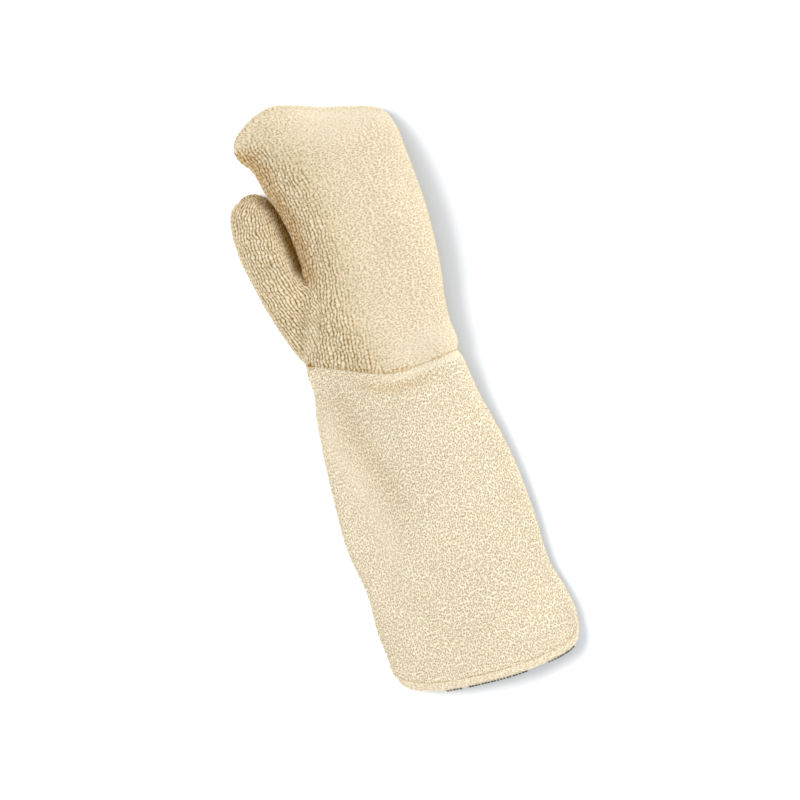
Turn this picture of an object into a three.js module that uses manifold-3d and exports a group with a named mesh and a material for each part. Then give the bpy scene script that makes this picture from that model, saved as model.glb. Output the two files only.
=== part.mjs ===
// A heat resistant mitten of thick looped terry cloth, lying flat: a hand with a sewn-on thumb,
// and a long flared cuff with a hemmed mouth. Every piece is hollow, and one hollow runs from
// the mouth through the cuff into the hand and the thumb.
// Millimetres, +Z up, fingertips towards +Y, thumb towards -X. The sections are laid out from
// the middle of the wrist seam; the finished group has its origin under the middle of its box.

import * as THREE from 'three';
import { mergeVertices } from 'three/addons/utils/BufferGeometryUtils.js';
import Module from 'manifold-3d';

const wasm = await Module();
wasm.setup();

// Cloth
const terryWall = 4.5;
const hemWall = 5.4;
const seamGap = 0.3;
const hemGap = 0.5;

// Hand
const handLength = 264;
const palmWidth = 137;
const palmThickness = 56;
const tipSeamDepth = 15;

// Wrist, where the hand is sewn to the cuff
const wristWidth = 153;
const wristThickness = 40;
const seamPinch = 2.5;
const pinchWidth = 7;
const seamRidge = 2.4;
const ridgePlace = 7;
const ridgeHalfWidth = 3.6;

// Thumb
const thumbLength = 180;
const thumbWidth = 50;
const thumbThickness = 38;
const thumbTipSeamDepth = 10;

// Cuff
const cuffLength = 340;
const mouthWidth = 193;
const cuffThickness = 26;
const hemWidth = 9;
const hemProud = 0.7;
const hemShoulder = 2;

// Least height from an edge's widest line to the layer above or below it, and its least rounding
const leastLayer = 0.5;
const leastRound = 1;

// Mesh fineness: points round a ring, rings along each wall, and how far those rings gather
// towards its ends, from 0, evenly spaced, to 1
const ringPoints = 44;
const thumbRingPoints = 32;
const handRings = { outside: 20, inside: 14, gather: 0.8 };
const thumbRings = { outside: 15, inside: 11, gather: 0.65 };
const cuffRings = { outside: 18, inside: 13, gather: 0.4 };
const lipRings = 4;

// A table is a list of rows with named columns. Lengths in a row are shares of the sizes named
// above each table, so that the sections follow those sizes.
function table(columns, rows) {
  return rows.map((row) => Object.fromEntries(columns.map((name, i) => [name, row[i]])));
}

// The section at the wrist seam, which the hand and the cuff share. left, right, roundLeft,
// roundRight: shares of wristWidth. equator: the height at which the edges are widest, as a
// share of the section's height there. The other tables' columns mean the same.
const wrist = { left: -0.503, right: 0.503, roundLeft: 0.44, roundRight: 0.16, equator: 0.36 };

// Outline of the wrist seam, seen from above: it runs up towards the thumb and sags in the
// middle. across, reach: shares of wristWidth from the middle of the wrist.
const wristOutline = table(
  ['across', 'reach'],
  [
    [-0.510, 0.096],
    [-0.455, 0.080],
    [-0.250, -0.015],
    [0.000, -0.120],
    [0.220, -0.128],
    [0.520, -0.104],
  ],
);

// Sections of the hand. along: share of handLength, from the wrist seam to the fingertips.
// wrist: how far the row's sizes are the wrist's (1) or the palm's (0). left, right, roundLeft,
// roundRight: shares of that width. height, floor: shares of that thickness.
const handSections = table(
  ['along', 'wrist', 'left', 'right', 'height', 'floor', 'equator', 'roundLeft', 'roundRight'],
  [
    [0.00, 1.0, wrist.left, wrist.right, 1.00, 0, wrist.equator, wrist.roundLeft, wrist.roundRight],
    [0.05, 1.0, -0.478, 0.508, 1.08, 0.000, 0.37, 0.44, 0.18],
    [0.12, 1.0, -0.440, 0.498, 1.16, 0.000, 0.38, 0.42, 0.20],
    [0.22, 0.5, -0.408, 0.540, 1.05, 0.000, 0.40, 0.39, 0.25],
    [0.33, 0.0, -0.372, 0.606, 0.95, 0.000, 0.42, 0.38, 0.29],
    [0.45, 0.0, -0.350, 0.628, 1.00, 0.000, 0.43, 0.36, 0.30],
    [0.60, 0.0, -0.376, 0.645, 1.00, 0.000, 0.43, 0.36, 0.30],
    [0.72, 0.0, -0.436, 0.642, 0.98, 0.000, 0.43, 0.35, 0.29],
    [0.82, 0.0, -0.472, 0.635, 0.90, 0.004, 0.43, 0.33, 0.27],
    [0.90, 0.0, -0.530, 0.630, 0.74, 0.016, 0.44, 0.30, 0.22],
    [0.95, 0.0, -0.551, 0.625, 0.57, 0.045, 0.47, 0.24, 0.16],
    [0.98, 0.0, -0.558, 0.615, 0.42, 0.085, 0.56, 0.16, 0.10],
    [1.00, 0.0, -0.562, 0.602, 0.31, 0.134, 0.72, 0.06, 0.06],
  ],
);

// Outline of the fingertip seam, seen from above. across: share of palmWidth from the middle.
// reach: share of handLength from the wrist seam.
const tipOutline = table(
  ['across', 'reach'],
  [
    [-0.570, 0.895],
    [-0.535, 0.945],
    [-0.440, 0.985],
    [-0.330, 1.013],
    [-0.200, 1.026],
    [-0.060, 1.008],
    [0.140, 0.966],
    [0.360, 0.932],
    [0.540, 0.893],
    [0.620, 0.845],
  ],
);

// Sections of the thumb. along: share of thumbLength, from the wrist's corner to its tip.
// out, lap: how far its outer edge lies beyond the wrist's corner, and its inner edge inside
// the hand's edge, as shares of thumbWidth like roundLeft and roundRight. height, crease, floor:
// shares of thumbThickness. crease: the height of its upper layer at the inner edge, which falls
// away to the slot beside the hand.
const thumbSections = table(
  ['along', 'out', 'lap', 'height', 'crease', 'floor', 'equator', 'roundLeft', 'roundRight'],
  [
    [0.000, -0.08, 0.92, 0.40, 0.40, 0.00, 0.45, 0.60, 0.34],
    [0.070, 0.05, 0.84, 0.50, 0.50, 0.00, 0.45, 0.62, 0.34],
    [0.130, 0.13, 0.78, 0.58, 0.58, 0.00, 0.45, 0.64, 0.34],
    [0.260, 0.26, 0.62, 0.74, 0.74, 0.00, 0.44, 0.66, 0.34],
    [0.390, 0.37, 0.30, 0.90, 0.88, 0.00, 0.44, 0.66, 0.34],
    [0.460, 0.42, 0.12, 0.97, 0.72, 0.00, 0.44, 0.66, 0.28],
    [0.530, 0.46, 0.04, 1.00, 0.40, 0.00, 0.44, 0.64, 0.16],
    [0.660, 0.53, 0.03, 1.00, 0.28, 0.00, 0.44, 0.62, 0.12],
    [0.790, 0.54, 0.02, 0.95, 0.26, 0.00, 0.44, 0.56, 0.12],
    [0.880, 0.51, -0.01, 0.85, 0.28, 0.01, 0.44, 0.48, 0.16],
    [0.940, 0.44, -0.05, 0.71, 0.34, 0.05, 0.47, 0.38, 0.20],
    [0.980, 0.32, -0.09, 0.54, 0.40, 0.11, 0.54, 0.24, 0.20],
    [1.000, 0.18, -0.18, 0.36, 0.36, 0.19, 0.75, 0.08, 0.08],
  ],
);

// Sections of the cuff. along: share of cuffLength, from the wrist seam to the mouth, and also
// how far the row's width is the mouth's. left, right, roundLeft, roundRight: shares of that
// width. rimLeft to rimRight: heights of the upper layer across the section, as shares of
// cuffThickness. The low flankLeft is the soft dent beside the left edge.
const wristRise = wristThickness / cuffThickness;
const cuffSections = table(
  [
    'along', 'left', 'right', 'rimLeft', 'flankLeft', 'crownLeft', 'crownRight', 'rimRight',
    'equator', 'roundLeft', 'roundRight',
  ],
  [
    [
      0.00, wrist.left, wrist.right, wristRise, wristRise, wristRise, wristRise, wristRise,
      wrist.equator, wrist.roundLeft, wrist.roundRight,
    ],
    [0.08, -0.483, 0.506, 1.00, 1.12, 1.42, 1.48, 1.23, 0.40, 0.255, 0.130],
    [0.16, -0.508, 0.516, 0.56, 0.65, 1.10, 1.22, 0.97, 0.44, 0.085, 0.100],
    [0.28, -0.523, 0.546, 0.47, 0.49, 0.88, 1.06, 0.75, 0.48, 0.040, 0.070],
    [0.42, -0.530, 0.561, 0.46, 0.42, 0.78, 1.00, 0.60, 0.50, 0.035, 0.050],
    [0.57, -0.525, 0.553, 0.47, 0.44, 0.76, 0.97, 0.52, 0.50, 0.034, 0.038],
    [0.72, -0.479, 0.530, 0.50, 0.53, 0.80, 0.95, 0.50, 0.50, 0.033, 0.033],
    [0.84, -0.476, 0.552, 0.49, 0.59, 0.87, 0.94, 0.50, 0.50, 0.032, 0.032],
    [0.93, -0.458, 0.560, 0.48, 0.63, 0.92, 0.93, 0.50, 0.50, 0.031, 0.031],
    [0.97, -0.454, 0.550, 0.48, 0.64, 0.93, 0.93, 0.50, 0.50, 0.031, 0.031],
    [1.00, -0.425, 0.531, 0.48, 0.65, 0.93, 0.93, 0.50, 0.50, 0.031, 0.031],
  ],
);

// Outline of the mouth, seen from above. across: share of mouthWidth from the middle of the
// wrist. reach: share of cuffLength from the wrist seam.
const mouthOutline = table(
  ['across', 'reach'],
  [
    [-0.440, 0.921],
    [-0.400, 0.947],
    [-0.325, 0.969],
    [-0.220, 0.985],
    [0.000, 0.997],
    [0.160, 1.001],
    [0.330, 0.996],
    [0.460, 0.984],
    [0.510, 0.964],
    [0.540, 0.938],
  ],
);

// Where across a section each of its height columns holds.
const heightPlaces = [
  ['rimLeft', 0],
  ['flankLeft', 0.15],
  ['crownLeft', 0.4],
  ['crownRight', 0.7],
  ['rimRight', 1],
];

function mix(a, b, share) {
  return a + (b - a) * share;
}

// A smooth curve through points [x, y] in rising x, read at one x.
function smoothThrough(points, x) {
  const last = points.length - 1;
  const at = Math.min(Math.max(x, points[0][0]), points[last][0]);
  let i = 0;
  while (i < last - 1 && at > points[i + 1][0]) i += 1;
  const slope = (k) => {
    const before = points[Math.max(k - 1, 0)];
    const after = points[Math.min(k + 1, last)];
    return (after[1] - before[1]) / (after[0] - before[0]);
  };
  const span = points[i + 1][0] - points[i][0];
  const t = (at - points[i][0]) / span;
  const rise = points[i + 1][1] - points[i][1];
  const start = slope(i) * span;
  const end = slope(i + 1) * span;
  return points[i][1] + t * start + t * t * (3 * rise - 2 * start - end)
    + t * t * t * (start + end - 2 * rise);
}

// Every column of a table, read at one place of its first column.
function rowAt(rows, place) {
  const [key, ...columns] = Object.keys(rows[0]);
  const read = (name) => smoothThrough(rows.map((row) => [row[key], row[name]]), place);
  return Object.fromEntries(columns.map((name) => [name, read(name)]));
}

// Plan lines: how far a seam lies from the middle of the wrist, for a place across it
function wristLine(x) {
  return wristWidth * rowAt(wristOutline, x / wristWidth).reach;
}

function tipLine(x) {
  return handLength * rowAt(tipOutline, x / palmWidth).reach;
}

function mouthLine(x) {
  return -cuffLength * rowAt(mouthOutline, x / mouthWidth).reach;
}

// The wrist seam draws the cloth in on both sides, and the cuff's rolled top edge stands up
// beside it, most on the side away from the thumb.
function bell(distance, halfWidth) {
  return Math.exp(-((distance / halfWidth) ** 2));
}

function pinched(section, distance) {
  return grown(section, -seamPinch * bell(distance, pinchWidth), 0);
}

// A section whose walls have moved outward by side, and whose underside has moved down by under
function grown(section, side, under) {
  return { ...section, side: section.side + side, under: section.under + under };
}

function handSection(along) {
  const row = rowAt(handSections, along);
  const width = mix(palmWidth, wristWidth, row.wrist);
  const thickness = mix(palmThickness, wristThickness, row.wrist);
  const height = row.height * thickness;
  return {
    left: row.left * width,
    right: row.right * width,
    heights: heightPlaces.map(([, place]) => [place, height]),
    floor: Math.max(row.floor, 0) * thickness,
    equator: row.equator,
    roundLeft: row.roundLeft * width,
    roundRight: row.roundRight * width,
    ridge: 0,
    side: 0,
    under: 0,
  };
}

function cuffSection(along) {
  const row = rowAt(cuffSections, along);
  const width = mix(wristWidth, mouthWidth, along);
  return {
    left: row.left * width,
    right: row.right * width,
    heights: heightPlaces.map(([name, place]) => [place, row[name] * cuffThickness]),
    floor: 0,
    equator: row.equator,
    roundLeft: row.roundLeft * width,
    roundRight: row.roundRight * width,
    ridge: seamRidge * bell(along * cuffLength - ridgePlace, ridgeHalfWidth),
    side: 0,
    under: 0,
  };
}

// The hand's edge on the thumb's side, at a distance y from the middle of the wrist. Each step
// comes closer to the section whose edge lies at y.
const edgeSteps = 4;

function handEdgeAt(y) {
  let along = y / handLength;
  for (let step = 0; step < edgeSteps; step += 1) {
    const x = handSection(along).left;
    along = (y - wristLine(x)) / (tipLine(x) - wristLine(x));
  }
  return handSection(along).left;
}

const thumbRoot = { x: wrist.left * wristWidth, y: wristLine(wrist.left * wristWidth) };

function thumbSection(along) {
  const row = rowAt(thumbSections, along);
  const y = thumbRoot.y + along * thumbLength;
  return {
    left: thumbRoot.x - row.out * thumbWidth,
    right: handEdgeAt(y) + row.lap * thumbWidth,
    heights: heightPlaces.map(([name, place]) => (
      [place, (name === 'rimRight' ? row.crease : row.height) * thumbThickness])),
    floor: Math.max(row.floor, 0) * thumbThickness,
    equator: row.equator,
    roundLeft: row.roundLeft * thumbWidth,
    roundRight: row.roundRight * thumbWidth,
    ridge: 0,
    side: 0,
    under: 0,
  };
}

// Height of a rounded edge, as a share, at a distance inside it
function rounding(distance, width) {
  const t = Math.min(Math.max(distance / width, 0), 1);
  return Math.sqrt(1 - (1 - t) ** 2);
}

// The upper and lower height of a section at x. Its edges are quarter ellipses, and between
// them the upper layer follows the heights and the lower layer is flat.
function layersAt(section, x) {
  const { side, under } = section;
  const left = section.left - side;
  const right = section.right + side;
  const place = Math.min(Math.max((x - section.left) / (section.right - section.left), 0), 1);
  const rims = [section.heights[0][1], section.heights[section.heights.length - 1][1]];
  const ridge = section.ridge * place;
  const top = smoothThrough(section.heights, place) + side + ridge;
  const floor = section.floor - under;
  const middle = Math.min(
    Math.max(mix(rims[0], rims[1], place) * section.equator, floor + leastLayer),
    top - leastLayer,
  );
  const fit = (round) => Math.min(Math.max(round + side, leastRound), (right - left) / 2);
  const upper = Math.min(
    rounding(x - left, fit(section.roundLeft)),
    rounding(right - x, fit(section.roundRight)),
  );
  const lowerRound = fit(Math.min(middle - section.floor, section.roundLeft));
  const lower = rounding(Math.min(x - left, right - x), lowerRound);
  return { top: mix(middle, top, upper), bottom: mix(middle, floor, lower) };
}

// One ring of points round a section: over the top from the left edge to the right edge, then
// back underneath. The two halves have as many points each, which crowd where the section
// bends: a turn by one radian counts as much as bendLength of plain cloth.
const tracePoints = 240;
const bendLength = 9;

function ring(section, count, lengthways) {
  const left = section.left - section.side;
  const right = section.right + section.side;
  const half = (layer) => {
    const trace = [];
    for (let i = 0; i <= tracePoints; i += 1) {
      const x = mix(left, right, (1 - Math.cos(Math.PI * i / tracePoints)) / 2);
      trace.push([x, layersAt(section, x)[layer]]);
    }
    const weights = [0];
    let heading = Math.PI / 2;
    for (let i = 1; i <= tracePoints; i += 1) {
      const dx = trace[i][0] - trace[i - 1][0];
      const dz = Math.abs(trace[i][1] - trace[i - 1][1]);
      const turned = Math.abs(Math.atan2(dz, dx) - heading);
      heading = Math.atan2(dz, dx);
      weights.push(weights[i - 1] + Math.hypot(dx, dz) + bendLength * turned);
    }
    const points = [];
    let i = 1;
    for (let k = 0; k <= count / 2; k += 1) {
      const goal = weights[tracePoints] * k / (count / 2);
      while (i < tracePoints && weights[i] < goal) i += 1;
      const share = (goal - weights[i - 1]) / (weights[i] - weights[i - 1]);
      const x = mix(trace[i - 1][0], trace[i][0], share);
      const z = mix(trace[i - 1][1], trace[i][1], share);
      points.push(new THREE.Vector3(x, lengthways(x), z));
    }
    return points;
  };
  const over = half('top');
  const under = half('bottom');
  return [...over, ...under.slice(1, -1).reverse()];
}

// A closed skin over a row of rings. Its two ends are capped, or joined to each other if looped.
function skin(rings, looped = false) {
  const count = rings[0].length;
  const corners = [];
  const quad = (a, b, c, d) => corners.push(a, b, c, a, c, d);
  const spans = looped ? rings.length : rings.length - 1;
  for (let i = 0; i < spans; i += 1) {
    const here = i * count;
    const next = ((i + 1) % rings.length) * count;
    for (let k = 0; k < count; k += 1) {
      const beside = (k + 1) % count;
      quad(here + k, here + beside, next + beside, next + k);
    }
  }
  const cap = (start, inward) => {
    const below = (k) => start + ((count - k) % count);
    for (let k = 0; k < count / 2; k += 1) {
      const face = [start + k, below(k), below(k + 1), start + k + 1];
      if (inward) face.reverse();
      quad(...face);
    }
  };
  if (!looped) {
    cap(0, false);
    cap((rings.length - 1) * count, true);
  }
  const geometry = new THREE.BufferGeometry();
  geometry.setAttribute('position', new THREE.Float32BufferAttribute(
    rings.flat().flatMap((point) => point.toArray()), 3));
  geometry.setIndex(corners);
  return geometry;
}

// A solid that faces outward, from a closed skin
const mergeDistance = 1e-4;

function solid(geometry) {
  const merged = mergeVertices(geometry, mergeDistance);
  const vertProperties = Float32Array.from(merged.attributes.position.array);
  const index = Array.from(merged.index.array);
  const triVerts = [];
  for (let i = 0; i < index.length; i += 3) {
    const [a, b, c] = index.slice(i, i + 3);
    if (a !== b && b !== c && c !== a) triVerts.push(a, b, c);
  }
  let made = new wasm.Manifold(new wasm.Mesh({
    numProp: 3, vertProperties, triVerts: Uint32Array.from(triVerts) }));
  if (made.volume() < 0) {
    for (let i = 0; i < triVerts.length; i += 3) {
      [triVerts[i + 1], triVerts[i + 2]] = [triVerts[i + 2], triVerts[i + 1]];
    }
    made = new wasm.Manifold(new wasm.Mesh({
      numProp: 3, vertProperties, triVerts: Uint32Array.from(triVerts) }));
  }
  return made;
}

// Places from start to end, closer together towards both by the share gather
function stations(start, end, count, gather) {
  const places = [];
  for (let i = 0; i <= count; i += 1) {
    const t = i / count;
    const eased = (1 - Math.cos(Math.PI * t)) / 2;
    places.push(mix(start, end, mix(t, eased, gather)));
  }
  return places;
}

// Hand
function handRing(along, side, under, shift = 0) {
  const base = pinched(handSection(along), along * handLength);
  return ring(grown(base, side, under), ringPoints, (x) => (
    mix(wristLine(x) + shift, tipLine(x), along)));
}

// The hand's outer form as one block, grown by a clearance, and drawn out a little past the
// wrist seam, so that it cuts the thumb clean off at the hand's edge
const blankOverrun = 0.02;

function handBlank(clearance) {
  const places = [-blankOverrun, ...stations(0, 1, handRings.outside, handRings.gather)];
  return solid(skin(places.map((along) => (
    ring(grown(handSection(Math.max(along, 0)), clearance, clearance), ringPoints, (x) => (
      mix(wristLine(x), tipLine(x) + clearance, along)))))));
}

function thumbRing(along, side, under) {
  const y = thumbRoot.y + along * thumbLength;
  return ring(grown(thumbSection(along), side, under), thumbRingPoints, () => y);
}

// The thumb's hollow, which starts inside the hand, at a share of the thumb's length
const thumbHollowStart = 0.2;

function thumbHollow() {
  const end = 1 - thumbTipSeamDepth / thumbLength;
  const places = stations(thumbHollowStart, end, thumbRings.inside, thumbRings.gather);
  return solid(skin(places.map((along) => thumbRing(along, -terryWall, -terryWall))));
}

function makeHand() {
  const hollowEnd = 1 - tipSeamDepth / handLength;
  const inside = stations(0, hollowEnd, handRings.inside, handRings.gather).map((along) => (
    handRing(along, -terryWall, -terryWall, seamGap / 2)));
  const outside = stations(0, 1, handRings.outside, handRings.gather).map((along) => (
    handRing(along, 0, 0, seamGap / 2)));
  return solid(skin([...inside.reverse(), ...outside])).subtract(thumbHollow());
}

function makeThumb() {
  const outside = stations(0, 1, thumbRings.outside, thumbRings.gather).map((along) => (
    thumbRing(along, 0, 0)));
  return solid(skin(outside)).subtract(handBlank(seamGap)).subtract(thumbHollow());
}

// Cuff and its hem. The first rings beside the wrist seam follow its ridge: their distances
// from the seam, as shares of ridgePlace.
const hemStart = 1 - hemWidth / cuffLength;
const ridgeRings = [0, 0.45, 1, 1.55, 2.3];
const ridgeEnd = 3.7;

function cuffRing(along, side, under, shift = 0) {
  const base = pinched(cuffSection(along), along * cuffLength);
  return ring(grown(base, side, under), ringPoints, (x) => (
    mix(wristLine(x) - seamGap / 2, mouthLine(x), along) - shift));
}

function makeCuff() {
  const ridge = ridgePlace / cuffLength;
  const nearSeam = ridgeRings.map((share) => share * ridge);
  const restCount = cuffRings.outside - nearSeam.length;
  const rest = stations(ridgeEnd * ridge, hemStart, restCount, cuffRings.gather);
  const outside = [...nearSeam, ...rest].map((along) => cuffRing(along, 0, 0));
  const inside = stations(0, hemStart, cuffRings.inside, cuffRings.gather).map((along) => (
    cuffRing(along, -terryWall, -terryWall)));
  return solid(skin([...outside, ...inside.reverse()], true));
}

// The rings run from the inner wall round the lip to the outer wall, so that the face towards
// the cuff is divided as the cuff's own end is.
function makeMouthHem() {
  const lip = hemWall / 2;
  const lipStart = 1 - lip / cuffLength;
  const shoulder = hemStart + hemShoulder / cuffLength;
  const rings = [
    cuffRing(hemStart, -terryWall, -terryWall, hemGap),
    cuffRing(shoulder, hemProud - hemWall, -hemWall),
  ];
  for (let i = 0; i <= lipRings; i += 1) {
    const angle = Math.PI * i / lipRings;
    const inset = lip * (1 + Math.cos(angle));
    rings.push(cuffRing(lipStart, hemProud - inset, -inset, lip * Math.sin(angle)));
  }
  rings.push(cuffRing(shoulder, hemProud, 0));
  rings.push(cuffRing(hemStart, 0, 0, hemGap));
  return solid(skin(rings, true));
}

// Cloth colours: natural cotton, a little paler where the hem's cut edge is pressed flat
const terry = new THREE.MeshStandardMaterial({ color: 0xf0e0bf, roughness: 0.95, metalness: 0 });
const hemCloth = new THREE.MeshStandardMaterial({ color: 0xf2e3c4, roughness: 0.9, metalness: 0 });

function namedMesh(name, made, material) {
  const { numProp, vertProperties, triVerts } = made.getMesh();
  const positions = [];
  for (let i = 0; i < vertProperties.length; i += numProp) {
    positions.push(...vertProperties.slice(i, i + 3));
  }
  const geometry = new THREE.BufferGeometry();
  geometry.setAttribute('position', new THREE.Float32BufferAttribute(positions, 3));
  geometry.setIndex(Array.from(triVerts));
  geometry.computeVertexNormals();
  const mesh = new THREE.Mesh(geometry, material);
  mesh.name = name;
  return mesh;
}

const mitten = new THREE.Group();
mitten.add(namedMesh('hand', makeHand(), terry));
mitten.add(namedMesh('thumb', makeThumb(), terry));
mitten.add(namedMesh('cuff', makeCuff(), terry));
mitten.add(namedMesh('mouth_hem', makeMouthHem(), hemCloth));

const box = new THREE.Box3().setFromObject(mitten);
const middle = box.getCenter(new THREE.Vector3());
mitten.position.set(-middle.x, -middle.y, -box.min.z);
mitten.updateMatrixWorld(true);

export default mitten;
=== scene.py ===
"""The looks of a heat resistant mitten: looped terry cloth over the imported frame.

The pieces are laid out as the part's solids are, in millimetres from the middle of the wrist
seam, with the fingertips towards +Y and the thumb towards -X. Each is a fine grid of points on
the piece's outer form, raised into yarn loops, with a coarser inner wall.
"""

import math

import bmesh
import bpy
import numpy as np
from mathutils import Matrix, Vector


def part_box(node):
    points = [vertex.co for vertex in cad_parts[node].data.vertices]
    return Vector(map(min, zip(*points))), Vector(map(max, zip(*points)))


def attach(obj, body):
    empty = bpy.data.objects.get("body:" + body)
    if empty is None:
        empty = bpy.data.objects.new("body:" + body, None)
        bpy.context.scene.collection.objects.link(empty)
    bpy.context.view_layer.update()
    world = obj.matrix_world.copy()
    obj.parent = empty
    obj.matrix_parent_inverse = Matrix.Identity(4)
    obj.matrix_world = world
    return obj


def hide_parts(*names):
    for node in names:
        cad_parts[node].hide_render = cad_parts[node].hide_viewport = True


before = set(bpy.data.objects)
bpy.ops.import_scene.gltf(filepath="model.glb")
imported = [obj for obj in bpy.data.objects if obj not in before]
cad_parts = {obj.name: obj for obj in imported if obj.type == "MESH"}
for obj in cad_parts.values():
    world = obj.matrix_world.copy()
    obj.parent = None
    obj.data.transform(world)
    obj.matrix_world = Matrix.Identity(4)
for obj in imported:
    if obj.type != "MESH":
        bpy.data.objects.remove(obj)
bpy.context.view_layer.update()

MM = 0.001

# Sizes of the cloth and its pieces, as in the part
TERRY_WALL = 4.5
HEM_WALL = 5.4
SEAM_GAP = 0.3
HAND_LENGTH = 264.0
PALM_WIDTH = 137.0
PALM_THICKNESS = 56.0
WRIST_WIDTH = 153.0
WRIST_THICKNESS = 40.0
SEAM_PINCH = 2.5
PINCH_WIDTH = 7.0
SEAM_RIDGE = 2.4
RIDGE_PLACE = 7.0
RIDGE_HALF_WIDTH = 3.6
THUMB_LENGTH = 180.0
THUMB_WIDTH = 50.0
THUMB_THICKNESS = 38.0
CUFF_LENGTH = 340.0
MOUTH_WIDTH = 193.0
CUFF_THICKNESS = 26.0
HEM_WIDTH = 9.0
HEM_PROUD = 0.7
HEM_SHOULDER = 2.0
LEAST_LAYER = 0.5
LEAST_ROUND = 1.0

# The wrist seam's section, and the pieces' sections, as in the part
WRIST = {"left": -0.503, "right": 0.503, "round_left": 0.44, "round_right": 0.16, "equator": 0.36}
WRIST_RISE = WRIST_THICKNESS / CUFF_THICKNESS

WRIST_OUTLINE = [
    # across, reach
    (-0.510, 0.096),
    (-0.455, 0.080),
    (-0.250, -0.015),
    (0.000, -0.120),
    (0.220, -0.128),
    (0.520, -0.104),
]

TIP_OUTLINE = [
    # across, reach
    (-0.570, 0.895),
    (-0.535, 0.945),
    (-0.440, 0.985),
    (-0.330, 1.013),
    (-0.200, 1.026),
    (-0.060, 1.008),
    (0.140, 0.966),
    (0.360, 0.932),
    (0.540, 0.893),
    (0.620, 0.845),
]

MOUTH_OUTLINE = [
    # across, reach
    (-0.440, 0.921),
    (-0.400, 0.947),
    (-0.325, 0.969),
    (-0.220, 0.985),
    (0.000, 0.997),
    (0.160, 1.001),
    (0.330, 0.996),
    (0.460, 0.984),
    (0.510, 0.964),
    (0.540, 0.938),
]

HAND_COLUMNS = (
    "along", "wrist", "left", "right", "height", "floor", "equator", "round_left", "round_right",
)
HAND_SECTIONS = [
    (0.00, 1.0, WRIST["left"], WRIST["right"], 1.00, 0.000, WRIST["equator"],
     WRIST["round_left"], WRIST["round_right"]),
    (0.05, 1.0, -0.478, 0.508, 1.08, 0.000, 0.37, 0.44, 0.18),
    (0.12, 1.0, -0.440, 0.498, 1.16, 0.000, 0.38, 0.42, 0.20),
    (0.22, 0.5, -0.408, 0.540, 1.05, 0.000, 0.40, 0.39, 0.25),
    (0.33, 0.0, -0.372, 0.606, 0.95, 0.000, 0.42, 0.38, 0.29),
    (0.45, 0.0, -0.350, 0.628, 1.00, 0.000, 0.43, 0.36, 0.30),
    (0.60, 0.0, -0.376, 0.645, 1.00, 0.000, 0.43, 0.36, 0.30),
    (0.72, 0.0, -0.436, 0.642, 0.98, 0.000, 0.43, 0.35, 0.29),
    (0.82, 0.0, -0.472, 0.635, 0.90, 0.004, 0.43, 0.33, 0.27),
    (0.90, 0.0, -0.530, 0.630, 0.74, 0.016, 0.44, 0.30, 0.22),
    (0.95, 0.0, -0.551, 0.625, 0.57, 0.045, 0.47, 0.24, 0.16),
    (0.98, 0.0, -0.558, 0.615, 0.42, 0.085, 0.56, 0.16, 0.10),
    (1.00, 0.0, -0.562, 0.602, 0.31, 0.134, 0.72, 0.06, 0.06),
]

THUMB_COLUMNS = (
    "along", "out", "lap", "height", "crease", "floor", "equator", "round_left", "round_right",
)
THUMB_SECTIONS = [
    (0.000, -0.08, 0.92, 0.40, 0.40, 0.00, 0.45, 0.60, 0.34),
    (0.070, 0.05, 0.84, 0.50, 0.50, 0.00, 0.45, 0.62, 0.34),
    (0.130, 0.13, 0.78, 0.58, 0.58, 0.00, 0.45, 0.64, 0.34),
    (0.260, 0.26, 0.62, 0.74, 0.74, 0.00, 0.44, 0.66, 0.34),
    (0.390, 0.37, 0.30, 0.90, 0.88, 0.00, 0.44, 0.66, 0.34),
    (0.460, 0.42, 0.12, 0.97, 0.72, 0.00, 0.44, 0.66, 0.28),
    (0.530, 0.46, 0.04, 1.00, 0.40, 0.00, 0.44, 0.64, 0.16),
    (0.660, 0.53, 0.03, 1.00, 0.28, 0.00, 0.44, 0.62, 0.12),
    (0.790, 0.54, 0.02, 0.95, 0.26, 0.00, 0.44, 0.56, 0.12),
    (0.880, 0.51, -0.01, 0.85, 0.28, 0.01, 0.44, 0.48, 0.16),
    (0.940, 0.44, -0.05, 0.71, 0.34, 0.05, 0.47, 0.38, 0.20),
    (0.980, 0.32, -0.09, 0.54, 0.40, 0.11, 0.54, 0.24, 0.20),
    (1.000, 0.18, -0.18, 0.36, 0.36, 0.19, 0.75, 0.08, 0.08),
]

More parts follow.
